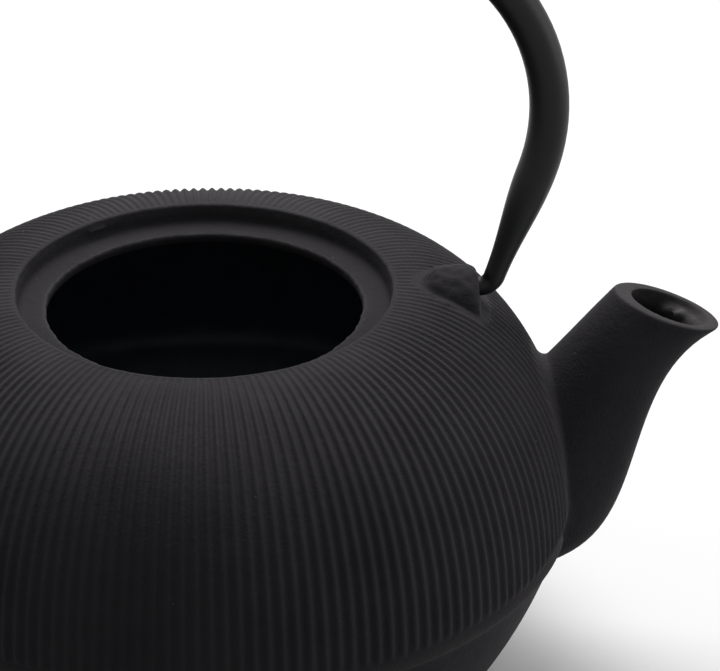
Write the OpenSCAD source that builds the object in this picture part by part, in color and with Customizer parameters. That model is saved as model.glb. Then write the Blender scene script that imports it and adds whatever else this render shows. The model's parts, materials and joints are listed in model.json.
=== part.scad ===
// Cast-iron teapot with a swinging bail handle, a loose lid and a lift-out steel infuser basket.
// The pot stands on the table with its spout along +X.
// The lid and the infuser are off the pot and stand beside it.

/* [Pot] */
// Widest diameter of the pot, over the ribs
body_d = 157.4; // [130:0.2:190]
// Height of the lip above the table
body_h = 92; // [76:0.5:112]
// Height of the widest ring above the table
belly_z = 40.6; // [32:0.2:50]
// Diameter of the flat base
base_d = 114; // [94:1:138]
// Thickness of the cast wall
wall = 4; // [3:0.1:5]
// Thickness of the cast floor
floor_t = 4.5; // [3.5:0.1:6]
// Squareness of the shoulder's curve, where 2 is an ellipse
shoulder_power = 2.12; // [2:0.01:2.5]
// How far the lower bowl swells past a straight cone
lower_bulge = 2; // [0.5:0.1:4]

/* [Bead] */
// Height from the widest ring down to the bead
bead_drop = 3; // [2.4:0.1:5]
// How far the lower bowl steps in under the widest ring
bead_step = 1.7; // [1:0.1:2.5]
// Radius of the bead's section
bead_r = 1; // [0.8:0.1:2]

/* [Mouth] */
// Diameter of the mouth at the lip
lip_d = 80; // [68:0.5:94]
// Width of the flat land round the lip
lip_land = 0.8; // [0.5:0.1:1.5]
// Depth of the recess that holds the lid
recess_depth = 4; // [3:0.1:6]
// How much the recess narrows on each side towards its foot
recess_draft = 0.55; // [0.2:0.05:1]
// Diameter of the hole through the ledge
ledge_bore_d = 67.2; // [56:0.2:76]
// Thickness of the ledge
ledge_t = 2.2; // [1.6:0.1:3]

/* [Spout] */
// How far the spout's tip stands out past the widest ring
spout_out = 31.8; // [26:0.2:40]
// Height of the lip above the spout's tip
tip_drop = 13; // [8:0.5:24]
// Length of the spout's mouth from heel to tip, over the rim
spout_mouth_l = 24.3; // [20:0.1:32]
// Width of the spout's mouth, over the rim
spout_mouth_w = 16.8; // [13:0.1:20]
// Slope of the spout's mouth, down towards the tip
spout_mouth_slope = 21.4; // [10:0.2:40]
// Width of the rim at the mouth's heel
rim_heel = 4; // [2.5:0.1:6]
// Width of the rim at the mouth's tip
rim_tip = 2.7; // [1.8:0.1:4]
// Width of the rim along the mouth's sides
rim_side = 2.1; // [1.8:0.1:4]
// Height of the lip above the top of the spout's root
root_top_drop = 20; // [14:0.5:28]
// Height of the underside of the spout's root
root_low_z = 23.5; // [16:0.5:34]
// Width of the spout's root
root_w = 35; // [26:0.5:44]
// How far the underside swells out near the root
underside_swell = 36; // [24:0.5:46]
// How far the neck hollows in behind the tip
neck_hollow = 26.5; // [18:0.5:34]
// How far the neck hollows in below the tip
neck_drop = 13.5; // [8:0.5:20]
// How quickly the spout narrows from its root, where 1 is evenly
spout_taper = 1.3; // [1:0.05:1.8]
// Thickness of the spout's wall at its root
spout_wall = 4; // [3:0.1:5]

/* [Ears] */
// Distance from the pot's axis to an ear's outer face
ear_face_x = 58.4; // [54:0.2:64]
// Height of the pin's axis above the shoulder at that face
pin_rise = 3; // [2.6:0.1:5]
// Radius of the ear's rounded back
ear_r = 9.4; // [8:0.1:11]
// Height of the ear's level ridge above the pin's axis
ear_rise = 4.6; // [4.2:0.1:6]
// Radius of the ear's round nose
ear_nose_r = 4.6; // [3.6:0.1:6]
// Length of the ear from its nose to its outer face
ear_l = 12.4; // [11:0.2:16]
// Length of the ear's full-width part
ear_land = 3.4; // [3:0.1:5]
// Rounding of the ear's outer edge
ear_round = 2.2; // [1:0.1:2.6]
// Depth of the pin's bore in the ear
ear_bore_depth = 7.5; // [5:0.1:9]

/* [Bail handle] */
// Thickness of the bail
bail_d = 8.4; // [7:0.1:11]
// Thickness of the bail at the foot of its legs
bail_foot_d = 4.6; // [4.2:0.1:6]
// Diameter of the bail's pins
pin_d = 4; // [3:0.1:4.2]
// Radial clearance of a pin in its ear
pin_clearance = 0.06; // [0.02:0.01:0.1]
// Clearance past the end of a pin in its bore
pin_end_gap = 0.5; // [0.3:0.1:1]
// Distance from an ear's face to the middle of the leg at pin height
leg_gap = 2.6; // [2.5:0.1:4]
// How far the bail bulges out past the legs' feet
bail_bulge = 11.8; // [8:0.1:16]
// Lean of the legs away from upright
leg_lean = 19.3; // [12:0.1:24]
// Bend radius of the bail's corners
corner_r = 44; // [30:0.5:50]
// Angle above level at which a corner runs into the flatter crown
crown_angle = 60; // [45:1:70]

/* [Infuser] */
// Depth of the basket below its flange
infuser_h = 56; // [45:0.5:68]
// Clearance of the basket in the ledge's hole, each side
basket_gap = 1.2; // [0.5:0.1:2]
// Clearance of the flange in the recess, each side
flange_gap = 0.8; // [0.4:0.1:1.5]
// Thickness of the flange
flange_t = 0.8; // [0.5:0.05:1.2]
// Radius of the rolled edge of the flange
roll_r = 0.7; // [0.5:0.05:1]
// Height of the collar under the flange
collar_h = 7; // [4:0.5:10]
// Thickness of the collar and of the base's skirt
collar_t = 0.6; // [0.4:0.05:1]
// Thickness of the perforated wall
sheet_t = 0.5; // [0.3:0.05:0.8]
// Gap between the perforated wall and the collar or skirt round it
sheet_gap = 0.05; // [0.02:0.01:0.1]
// Height of the base's skirt
skirt_h = 5; // [3:0.5:9]

/* [Lid] */
// Clearance of the lid in the recess, each side
lid_gap = 0.6; // [0.3:0.1:1.2]
// Clearance of the lid's ring inside the basket
ring_gap = 0.8; // [0.4:0.1:1.5]
// Depth of the ring under the lid
ring_h = 6; // [4:0.5:9]
// Thickness of the ring under the lid
ring_t = 3; // [2:0.1:4]
// Rise of the lid from its edge to its middle
lid_crown = 5; // [3:0.1:8]
// Thickness of the lid
lid_t = 3.6; // [3:0.1:5]
// Radius of the flat seat for the knob
seat_r = 7; // [6.5:0.1:10]
// Height of the flat seat above the lid's crown
seat_rise = 0.5; // [0.3:0.1:1]
// Diameter of the steam hole
vent_d = 3; // [2:0.1:4]
// Distance of the steam hole from the lid's middle
vent_x = 20; // [14:0.5:24]

/* [Knob] */
// Height of the knob
knob_h = 16; // [13:0.5:22]
// Diameter of the knob
knob_d = 20; // [16:0.5:26]
// Height of the knob's widest ring
knob_wide_z = 9.9; // [8:0.1:12]
// Height of the thinnest part of the knob's neck
knob_waist_z = 4.2; // [3:0.1:6]
// Diameter of the knob's neck
knob_neck_d = 9; // [8:0.5:11]
// Diameter of the knob's foot
knob_foot_d = 12; // [11:0.5:13]
// Diameter of the screw
screw_d = 4; // [3:0.1:5]
// Radial clearance of the screw in the knob
screw_clearance = 0.03; // [0.02:0.01:0.06]
// Radial clearance of the screw in the lid
screw_hole_gap = 0.25; // [0.15:0.05:0.5]
// How far the screw reaches into the knob
screw_grip = 9; // [6:0.5:11]
// Clearance past the end of the screw in the knob
screw_end_gap = 0.5; // [0.3:0.1:1]
// Diameter of the screw's head
screw_head_d = 8; // [7:0.5:10]
// Height of the screw's head
screw_head_h = 2.4; // [1.8:0.1:3]
// Width of the slot in the screw's head
slot_w = 1; // [0.8:0.1:1.4]
// Depth of the slot in the screw's head
slot_depth = 1.1; // [0.8:0.1:1.3]

/* [Table] */
// Room between the pot and the lid that stands behind it
lid_room = 8.5; // [6:0.5:30]
// Room between the pot and the infuser that stands beside it
infuser_room = 23; // [20:0.5:60]
// Direction of the infuser from the pot, turned from the spout
infuser_angle = 143; // [120:1:160]

/* [Hidden] */
$fn = 96;

CAST_IRON = "#2b2a29";
BLACK_STEEL = "#1f2124";
BRIGHT_STEEL = "#b9bcbf";
CUT = 1;                                  // how far a cut runs past the face it opens
SHOULDER_STEPS = 30;
BOWL_STEPS = 10;
SPOUT_STEPS = 16;
SPOUT_SIDES = 32;
BAIL_SIDES = 20;
FOOT_STEP = 15;                           // degrees between rings on the rounded foot of a leg
LEG_STEPS = 8;
CORNER_STEPS = 14;
CROWN_STEPS = 8;
ARC_STEP = 7.5;                           // degrees between points on a round edge
HULL_SIDES = 32;                          // sides of the round shapes that an ear is made of

body_r = body_d / 2;
base_r = base_d / 2;
lip_r = lip_d / 2;
crest_r = lip_r + lip_land;               // where the shoulder starts, at the lip
shoulder_w = body_r - crest_r;
shoulder_h = body_h - belly_z;
bead_z = belly_z - bead_drop;
bowl_r = body_r - bead_step;
ledge_z = body_h - recess_depth;
ledge_bore_r = ledge_bore_d / 2;
recess_foot_r = lip_r - recess_draft;

// A point on a shoulder curve of the given half-width and height, at an angle from its top
function shoulder_point(a, w, h) =
    [crest_r + w * pow(sin(a), 2 / shoulder_power), belly_z + h * pow(cos(a), 2 / shoulder_power)];

// Height of the outer shoulder at a distance from the axis
function shoulder_z(r) =
    belly_z + shoulder_h * pow(1 - pow((r - crest_r) / shoulder_w, shoulder_power), 1 / shoulder_power);

// Radius of the outer shoulder at a height
function shoulder_r(z) =
    crest_r + shoulder_w * pow(1 - pow((z - belly_z) / shoulder_h, shoulder_power), 1 / shoulder_power);

// Points on an arc from a to b that swells to the right of that line by rise, without its last point
function arc(a, b, rise, steps) =
    let (chord = norm(b - a),
         radius = (chord * chord / 4 + rise * rise) / (2 * rise),
         along = (b - a) / chord,
         out = [along[1], -along[0]],
         centre = (a + b) / 2 - out * (radius - rise),
         half = asin(chord / 2 / radius))
    [for (i = [0:steps - 1])
        let (turn = -half + 2 * half * i / steps)
        centre + radius * (out * cos(turn) + along * sin(turn))];

// A point on a cubic curve through four control points
function curve(p, t) =
    p[0] * pow(1 - t, 3) + p[1] * 3 * t * pow(1 - t, 2) + p[2] * 3 * t * t * (1 - t) + p[3] * pow(t, 3);

function outer_profile() =
    concat([[0, 0]],
           arc([base_r, 0], [bowl_r, bead_z], lower_bulge, BOWL_STEPS),
           [[bowl_r, bead_z]],
           [for (i = [SHOULDER_STEPS:-1:0])
               shoulder_point(90 * i / SHOULDER_STEPS, shoulder_w, shoulder_h)],
           [[0, body_h]]);

function cavity_profile() =
    let (under = ledge_z - ledge_t,
         w = shoulder_w - wall,
         h = shoulder_h - wall,
         inner = [for (i = [SHOULDER_STEPS:-1:1]) shoulder_point(90 * i / SHOULDER_STEPS, w, h)],
         top_r = crest_r + w * pow(1 - pow((under - belly_z) / h, shoulder_power), 1 / shoulder_power))
    concat([[0, floor_t]],
           arc([base_r - wall, floor_t], [bowl_r - wall, bead_z], lower_bulge, BOWL_STEPS),
           [[bowl_r - wall, bead_z]],
           [for (p = inner) if (p[1] < under) p],
           [[top_r, under], [ledge_bore_r, under], [ledge_bore_r, ledge_z], [recess_foot_r, ledge_z],
            [lip_r, body_h], [lip_r, body_h + CUT], [0, body_h + CUT]]);

// The spout's top and bottom lines in the upright plane through its middle, as [x, z]
spout_tip = [body_r + spout_out, body_h - tip_drop];
mouth_along = [cos(spout_mouth_slope), -sin(spout_mouth_slope)];
mouth_out = [sin(spout_mouth_slope), cos(spout_mouth_slope)];
spout_heel = spout_tip - mouth_along * spout_mouth_l;
root_top_z = body_h - root_top_drop - wall - spout_wall;
root_top = [shoulder_r(root_top_z) - wall - spout_wall, root_top_z];
root_low = [base_r + (bowl_r - base_r) * root_low_z / bead_z - wall, root_low_z];
top_run = (spout_heel - root_top) / 3;
top_line = [root_top, root_top + top_run, root_top + 2 * top_run, spout_heel];
low_line = [root_low, root_low + [underside_swell, 0], spout_tip - [neck_hollow, neck_drop], spout_tip];

// The same lines for the channel inside the spout, which starts in the pot's hollow
channel_tip = spout_tip - mouth_along * rim_tip;
channel_heel = spout_heel + mouth_along * rim_heel;
channel_run = (channel_heel - root_top) / 3;
channel_top = [root_top - [spout_wall, 2 * spout_wall], root_top + channel_run - [0, spout_wall],
               root_top + 2 * channel_run - [0, rim_side], channel_heel];
channel_low = [root_low + [-spout_wall, spout_wall], low_line[1] + [-spout_wall, spout_wall],
               low_line[2] + [-rim_tip, rim_tip], channel_tip];

// One oval ring of the spout between a top and a bottom point, with its half-width
function oval(top, low, half_w) =
    [for (i = [0:SPOUT_SIDES - 1])
        let (a = 360 * i / SPOUT_SIDES, p = (top + low) / 2 + (top - low) / 2 * cos(a))
        [p[0], half_w * sin(a), p[1]]];

function oval_rings(top, low, root_half, mouth_half) =
    [for (i = [0:SPOUT_STEPS])
        let (t = i / SPOUT_STEPS)
        let (half_w = mouth_half + (root_half - mouth_half) * pow(1 - t, spout_taper))
        oval(curve(top, t), curve(low, t), half_w)];

module loft(rings) {
    sides = len(rings[0]);
    last = len(rings) - 1;
    points = [for (ring = rings) each ring];
    walls = [for (k = [0:last - 1], i = [0:sides - 1])
        let (a = k * sides + i, b = k * sides + (i + 1) % sides)
        each [[a, b + sides, a + sides], [a, b, b + sides]]];
    ends = [for (i = [1:sides - 2])
        each [[0, i + 1, i], [last * sides, last * sides + i, last * sides + i + 1]]];
    polyhedron(points, concat(walls, ends));
}

module spout_skin() {
    loft(oval_rings(top_line, low_line, root_w / 2, spout_mouth_w / 2));
}

module spout_channel() {
    mouth_half = spout_mouth_w / 2 - rim_side;
    rings = oval_rings(channel_top, channel_low, root_w / 2 - spout_wall, mouth_half);
    past_mouth = [for (p = rings[SPOUT_STEPS]) p + [mouth_out[0], 0, mouth_out[1]] * rim_heel];
    loft(concat(rings, [past_mouth]));
}

// The pin's axis runs along X through both ears
pin_z = shoulder_z(ear_face_x) + pin_rise;
pin_r = pin_d / 2;

// An ear is a level-ridged lug that narrows from its rounded back to a round nose towards the mouth
module ear() {
    edge_r = ear_r - ear_round;
    edge_x = ear_face_x - ear_round;
    edge = [for (a = [0:ARC_STEP:90]) [edge_r + ear_round * cos(a), edge_x + ear_round * sin(a)]];
    back = concat([[0, ear_face_x - ear_land], [ear_r, ear_face_x - ear_land]], edge, [[0, ear_face_x]]);
    ridge_z = pin_z + ear_rise;
    hull() {
        translate([0, 0, ridge_z - ear_r]) rotate([0, 90, 0]) rotate_extrude($fn = HULL_SIDES) polygon(back);
        translate([ear_face_x - ear_l + ear_nose_r, 0, ridge_z - ear_nose_r])
            sphere(r = ear_nose_r, $fn = HULL_SIDES);
    }
}

module ear_bore() {
    translate([ear_face_x - ear_bore_depth, 0, pin_z])
        rotate([0, 90, 0]) cylinder(h = ear_bore_depth + CUT, r = pin_r + pin_clearance);
}

module both_sides() {
    children();
    mirror([1, 0, 0]) children();
}

module pot_body() {
    color(CAST_IRON) difference() {
        union() {
            rotate_extrude() polygon(outer_profile());
            rotate_extrude() translate([bowl_r, bead_z]) circle(r = bead_r);
            spout_skin();
            both_sides() ear();
        }
        rotate_extrude() polygon(cavity_profile());
        spout_channel();
        both_sides() ear_bore();
    }
}

// The bail follows one line on both sides: a pin, a leaning leg, a bent corner and a flatter crown
bail_r = bail_d / 2;
bail_foot_r = bail_foot_d / 2;
leg_x = ear_face_x + leg_gap;
bail_half = leg_x + bail_bulge;
corner_x = bail_half - corner_r;
leg_l = (corner_x + corner_r * cos(leg_lean) - leg_x) / sin(leg_lean);
corner_z = pin_z + leg_l * cos(leg_lean) + corner_r * sin(leg_lean);
crown_r = (corner_x + corner_r * cos(crown_angle)) / cos(crown_angle);
crown_z = corner_z + (corner_r - crown_r) * sin(crown_angle);

// Each station of half the bail, from the round foot of a leg to the top: [x, z, slope of the line, radius]
function bail_stations() =
    concat([for (a = [FOOT_STEP - 90:FOOT_STEP:-FOOT_STEP])
               [leg_x + bail_foot_r * sin(a) * sin(leg_lean), pin_z + bail_foot_r * sin(a) * cos(leg_lean),
                -leg_lean, bail_foot_r * cos(a)]],
           [for (i = [0:LEG_STEPS - 1])
               let (t = i / LEG_STEPS)
               [leg_x + leg_l * t * sin(leg_lean), pin_z + leg_l * t * cos(leg_lean), -leg_lean,
                bail_foot_r + (bail_r - bail_foot_r) * (1 - cos(180 * t)) / 2]],
           [for (i = [0:CORNER_STEPS - 1])
               let (a = -leg_lean + (crown_angle + leg_lean) * i / CORNER_STEPS)
               [corner_x + corner_r * cos(a), corner_z + corner_r * sin(a), a, bail_r]],
           [for (i = [0:CROWN_STEPS])
               let (a = crown_angle + (90 - crown_angle) * i / CROWN_STEPS)
               [crown_r * cos(a), crown_z + crown_r * sin(a), a, bail_r]]);

// A ring of the bail round one station, on the right side or, with side -1, on the left
function bail_ring(s, side) =
    [for (i = [0:BAIL_SIDES - 1])
        let (a = 360 * i / BAIL_SIDES)
        [side * (s[0] + s[3] * cos(a) * cos(s[2])), -s[3] * sin(a), s[1] + s[3] * cos(a) * sin(s[2])]];

module bail_handle() {
    right = bail_stations();
    top = len(right) - 1;
    pin_l = leg_gap + ear_bore_depth - pin_end_gap;
    color(BLACK_STEEL) union() {
        loft(concat([for (s = right) bail_ring(s, 1)],
                    [for (i = [top - 1:-1:0]) bail_ring(right[i], -1)]));
        both_sides() translate([leg_x, 0, pin_z]) rotate([0, -90, 0]) cylinder(h = pin_l, r = pin_r);
    }
}

// The infuser's sizes come from the ledge and the recess that it drops into
flange_r = recess_foot_r - flange_gap;
collar_r = ledge_bore_r - basket_gap;
sheet_r = collar_r - collar_t - sheet_gap;
infuser_at = (body_r + infuser_room + flange_r) * [cos(infuser_angle), sin(infuser_angle)];

module at_infuser() {
    translate([infuser_at[0], infuser_at[1], 0]) children();
}

module ring(r_out, r_in, z, h) {
    translate([0, 0, z]) difference() {
        cylinder(h = h, r = r_out);
        translate([0, 0, -CUT]) cylinder(h = h + 2 * CUT, r = r_in);
    }
}

module infuser_rim() {
    color(BRIGHT_STEEL) at_infuser() {
        ring(flange_r - roll_r, sheet_r - sheet_t, infuser_h, flange_t);
        ring(collar_r, collar_r - collar_t, infuser_h - collar_h, collar_h + flange_t / 2);
        rotate_extrude() translate([flange_r - roll_r, infuser_h + roll_r]) circle(r = roll_r);
    }
}

module infuser_wall() {
    color(BRIGHT_STEEL) at_infuser() ring(sheet_r, sheet_r - sheet_t, collar_t, infuser_h - collar_t);
}

module infuser_base() {
    color(BRIGHT_STEEL) at_infuser() {
        cylinder(h = collar_t, r = collar_r);
        ring(collar_r, collar_r - collar_t, 0, skirt_h);
    }
}

// The lid drops into the recess on top of the infuser's flange, with its ring inside the basket
lid_r = recess_foot_r - lid_gap;
ring_r = sheet_r - sheet_t - ring_gap;
lid_edge_z = ring_h + recess_depth - flange_t;
seat_z = lid_edge_z + lid_crown + seat_rise;
under_seat_z = seat_z - seat_rise - lid_t;
lid_at = [0, body_r + lid_room + lid_r];

module at_lid() {
    translate([lid_at[0], lid_at[1], 0]) children();
}

// Radius of the ball that the lid's top is part of
lid_ball_r = (lid_r * lid_r + lid_crown * lid_crown) / (2 * lid_crown);

// Height of the lid's top at a distance from its middle
function lid_top(r) = seat_z - seat_rise - lid_ball_r + sqrt(lid_ball_r * lid_ball_r - r * r);

module lid_cover() {
    inside_r = ring_r - ring_t;
    profile = concat([[0, under_seat_z], [seat_r, under_seat_z]],
                     [for (i = [1:BOWL_STEPS])
                         let (r = seat_r + (inside_r - seat_r) * i / BOWL_STEPS)
                         [r, min(under_seat_z, lid_top(r) - lid_t)]],
                     [[inside_r, 0], [ring_r, 0], [ring_r, ring_h], [lid_r, ring_h], [lid_r, lid_edge_z]],
                     [for (i = [1:2 * BOWL_STEPS])
                         let (r = lid_r + (seat_r - lid_r) * i / (2 * BOWL_STEPS))
                         [r, lid_top(r)]],
                     [[seat_r, seat_z], [0, seat_z]]);
    color(CAST_IRON) at_lid() difference() {
        rotate_extrude() polygon(profile);
        translate([0, 0, -CUT]) cylinder(h = seat_z + 2 * CUT, r = screw_d / 2 + screw_hole_gap);
        translate([vent_x, 0, 0]) cylinder(h = seat_z + CUT, r = vent_d / 2);
    }
}

module lid_knob() {
    neck_r = knob_neck_d / 2;
    cap_r = knob_d / 2;
    foot_r = knob_foot_d / 2;
    foot = [for (a = [0:ARC_STEP:90])
        [foot_r - (foot_r - neck_r) * sin(a), knob_waist_z * (1 - cos(a))]];
    flare = [for (a = [0:ARC_STEP:90])
        [cap_r - (cap_r - neck_r) * cos(a), knob_waist_z + (knob_wide_z - knob_waist_z) * sin(a)]];
    cap = [for (a = [ARC_STEP:ARC_STEP:90])
        [cap_r * cos(a), knob_wide_z + (knob_h - knob_wide_z) * sin(a)]];
    profile = concat([[0, 0]], foot, flare, cap);
    color(CAST_IRON) at_lid() translate([0, 0, seat_z]) difference() {
        rotate_extrude() polygon(profile);
        translate([0, 0, -CUT])
            cylinder(h = screw_grip + screw_end_gap + CUT, r = screw_d / 2 + screw_clearance);
    }
}

module knob_screw() {
    color(BRIGHT_STEEL) at_lid() translate([0, 0, under_seat_z]) difference() {
        union() {
            translate([0, 0, -screw_head_h]) cylinder(h = screw_head_h, r = screw_head_d / 2);
            translate([0, 0, -CUT]) cylinder(h = CUT + seat_z - under_seat_z + screw_grip, r = screw_d / 2);
        }
        translate([-screw_head_d / 2 - CUT, -slot_w / 2, -screw_head_h - CUT])
            cube([screw_head_d + 2 * CUT, slot_w, slot_depth + CUT]);
    }
}

pot_body();
bail_handle();
lid_cover();
lid_knob();
knob_screw();
infuser_rim();
infuser_wall();
infuser_base();
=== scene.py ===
"""A cast-iron teapot with a swinging bail, its lid and its infuser basket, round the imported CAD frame."""

import json
import math

import bmesh
import bpy
import numpy as np
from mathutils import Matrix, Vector, noise


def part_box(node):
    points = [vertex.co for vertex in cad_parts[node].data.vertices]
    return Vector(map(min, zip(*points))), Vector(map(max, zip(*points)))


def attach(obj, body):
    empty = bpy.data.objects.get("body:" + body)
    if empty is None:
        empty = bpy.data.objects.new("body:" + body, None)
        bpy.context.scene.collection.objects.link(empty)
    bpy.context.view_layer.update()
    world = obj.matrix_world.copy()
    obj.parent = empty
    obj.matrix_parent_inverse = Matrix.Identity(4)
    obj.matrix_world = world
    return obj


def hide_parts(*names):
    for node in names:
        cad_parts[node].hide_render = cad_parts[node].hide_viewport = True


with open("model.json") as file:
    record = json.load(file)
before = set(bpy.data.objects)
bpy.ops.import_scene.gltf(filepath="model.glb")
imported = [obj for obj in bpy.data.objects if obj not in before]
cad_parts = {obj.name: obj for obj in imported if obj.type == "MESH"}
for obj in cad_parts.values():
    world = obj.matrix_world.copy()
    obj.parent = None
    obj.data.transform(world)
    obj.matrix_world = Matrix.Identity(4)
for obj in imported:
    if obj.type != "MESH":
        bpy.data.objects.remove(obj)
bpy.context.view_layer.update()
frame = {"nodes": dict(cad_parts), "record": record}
record = frame["record"]
joints = {joint["name"]: joint for joint in record["behaviour"]["joints"]}


# Pot: one hollow sand casting in iron, with the bowl, shoulder, spout and both ears poured together.
# Fine upright ribs run from the lip down to a bead at the belly. It is finished in matte black
# outside and in black enamel inside. Sizes are in millimetres until a mesh is written.
MM = 0.001

pot_low, pot_high = (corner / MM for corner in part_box("pot_body"))
body_r = -pot_low.y
body_h = 92.0
base_r = 57.0
belly_z = 40.6
wall = 4.0
floor_t = 4.5
crest_r = 40.8
shoulder_power = 2.12
bead_z, bead_crest_z = 37.6, 38.8
bead_rise, bead_half_h = 1.2, 1.4
bowl_r = 77.0
bowl_bulge = 2.0
groove_top_z = 43.6

seat = next(mount for mount in record["mounts"] if mount["name"] == "infuser_seat")
ledge_bore_r = seat["dims"]["r_mm"]
ledge_t = seat["dims"]["length_mm"]
ledge_z = seat["pos_m"][2] / MM + ledge_t / 2

RIBS = 168
RIB_COLUMNS = 8 * RIBS
LIP_COLUMNS = 360
PLAIN_COLUMNS = 180
SPOUT_SIDES = 96


def smooth(x, start, end):
    """0 up to start, 1 from end, and an S-shaped rise between them."""
    s = np.clip((x - start) / (end - start), 0, 1)
    return s * s * (3 - 2 * s)


def wobble(turn, size):
    """The unevenness of a hand-dressed sand mould, for angles round an edge."""
    waves = ((7, 1.0), (17, 2.3), (41, 0.7), (83, 4.1))
    return size * sum(np.sin(count * turn + start) for count, start in waves) / len(waves)


def arc_r(z, inset):
    """Radius of the bowl at a height. The inside of the bowl is the same arc, set in by the wall."""
    foot = np.array((base_r - inset, floor_t if inset else 0.0))
    rim = np.array((bowl_r - inset, bead_z))
    chord = np.linalg.norm(rim - foot)
    radius = (chord**2 / 4 + bowl_bulge**2) / (2 * bowl_bulge)
    along = (rim - foot) / chord
    centre = (foot + rim) / 2 - (radius - bowl_bulge) * np.array((along[1], -along[0]))
    return centre[0] + np.sqrt(radius**2 - (z - centre[1]) ** 2)


def shoulder_r(z, inset):
    """Radius of the shoulder at a height from the belly up."""
    rise = np.clip((z - belly_z) / (body_h - belly_z - inset), 0, 1)
    return crest_r + (body_r - crest_r - inset) * (1 - rise**shoulder_power) ** (1 / shoulder_power)


def shell_r(z, inset=0):
    """Radius of the pot's side at a height, without its bead, ribs, spout and ears. The inside is set in."""
    groove = (body_r - bowl_r) * (1 - smooth(z, bead_z, groove_top_z))
    return np.where(z < bead_z, arc_r(np.minimum(z, bead_z), inset), shoulder_r(z, inset) - groove)


def shell_z(r):
    """Height of the shoulder at a distance from the pot's axis."""
    reach = np.clip((r - crest_r) / (body_r - crest_r), 0, 1)
    return belly_z + (body_h - belly_z) * (1 - reach**shoulder_power) ** (1 / shoulder_power)


def turns(count):
    """Even angles round a full turn, from 0."""
    return 2 * math.pi * np.arange(count) / count


def angles(columns):
    return np.linspace(-math.pi, math.pi, columns, endpoint=False)


def circle(r, z, columns, centre=(0, 0)):
    """Points round an upright axis. r may differ from column to column."""
    turn = angles(columns)
    x, y = centre[0] + r * np.cos(turn), centre[1] + r * np.sin(turn)
    return np.column_stack((x, y, np.broadcast_to(z, columns)))


def loop(bm, points):
    return [bm.verts.new(point * MM) for point in points]


def join(bm, a, b, turn_a=None, turn_b=None):
    """Faces between two closed loops that run the same way round.

    Loops of as many points get quads. Others are zipped with triangles, by how far round each point lies.
    """
    n, m = len(a), len(b)
    if turn_a is None and n == m:
        return [bm.faces.new((a[i], a[(i + 1) % n], b[(i + 1) % n], b[i])) for i in range(n)]
    turn_a, turn_b = (np.arange(len(side)) / len(side) if turn is None else np.array(turn)
                      for side, turn in ((a, turn_a), (b, turn_b)))
    turn_a, turn_b = (np.append(turn, 1 + turn[0]) for turn in (turn_a, turn_b))
    faces, i, j = [], 0, 0
    while i < n or j < m:
        if j == m or (i < n and turn_a[i] + turn_a[i + 1] <= turn_b[j] + turn_b[j + 1]):
            faces.append(bm.faces.new((a[i], a[(i + 1) % n], b[j % m])))
            i += 1
        else:
            faces.append(bm.faces.new((a[i % n], b[(j + 1) % m], b[j])))
            j += 1
    return faces


def strips(bm, loops):
    """Faces from each loop to the next."""
    return [face for a, b in zip(loops, loops[1:]) for face in join(bm, a, b)]


def turned(bm, rows, columns, centre=(0, 0)):
    """Loops round an upright axis, from rows of radius and height."""
    return [loop(bm, circle(r, z, columns, centre)) for r, z in rows]


def close(bm, ring, point):
    """A fan of triangles from a closed loop to one point."""
    tip = bm.verts.new(np.array(point) * MM)
    return [bm.faces.new((ring[i - 1], ring[i], tip)) for i in range(len(ring))]


def open_hole(bm, faces, turn, inside):
    """Take away the faces whose middle is inside. Gives the edge loop left, by rising turn, and its turns."""
    doomed = {face for face in faces if inside(face.calc_center_median() / MM)}
    beside = {}
    for face in doomed:
        for edge in face.edges:
            if not doomed.issuperset(edge.link_faces):
                for vert in edge.verts:
                    beside.setdefault(vert, []).append(edge.other_vert(vert))
    at = {vert: turn(vert.co / MM) for vert in beside}
    edge_loop = [min(at, key=at.get)]
    edge_loop.append(min(beside[edge_loop[0]], key=lambda vert: at[vert]))
    while len(edge_loop) < len(beside):
        edge_loop.append(next(vert for vert in beside[edge_loop[-1]] if vert != edge_loop[-2]))
    faces[:] = [face for face in faces if face not in doomed]
    bmesh.ops.delete(bm, geom=list(doomed), context="FACES")
    return edge_loop, [at[vert] for vert in edge_loop]


def curve(points, t):
    """A cubic curve through four control points, for many t at once."""
    t = np.asarray(t, float)[..., None]
    p = [np.array(point, float) for point in points]
    return p[0] * (1 - t) ** 3 + p[1] * 3 * t * (1 - t) ** 2 + p[2] * 3 * t**2 * (1 - t) + p[3] * t**3


# Spout: its top and underside are curves in the upright plane through its middle
spout_tip = np.array((pot_high.x + 0.4, 79.0))
mouth_slope = math.radians(21.4)
mouth_l, mouth_w, root_w = 24.8, 16.8, 35.0
rim_heel, rim_tip, rim_side, spout_wall = 4.1, 2.9, 2.1, 4.0
spout_taper, keel = 1.3, 0.28
mouth_along = np.array((math.cos(mouth_slope), -math.sin(mouth_slope)))
spout_heel = spout_tip - mouth_l * mouth_along
root_top = np.array((shoulder_r(64.0, 0) - wall - spout_wall, 64.0))
root_low = np.array((65.5, 23.5))
top_run = (spout_heel - root_top) / 3
top_line = (root_top, root_top + top_run, root_top + 2 * top_run, spout_heel)
low_line = (root_low, root_low + (36, 0), spout_tip - (26.5, 13.5), spout_tip)
channel_tip = spout_tip - rim_tip * mouth_along
channel_heel = spout_heel + rim_heel * mouth_along
channel_run = (channel_heel - root_top) / 3
channel_top = (root_top - (spout_wall, 2 * spout_wall), root_top + channel_run - (0, spout_wall),
               root_top + 2 * channel_run - (0, rim_side), channel_heel)
channel_low = (root_low + (-spout_wall, spout_wall), low_line[1] + (-spout_wall, spout_wall),
               low_line[2] + (-rim_tip, rim_tip), channel_tip)
spout_turn = np.arange(SPOUT_SIDES) / SPOUT_SIDES
spout_angle = 2 * math.pi * spout_turn


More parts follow.
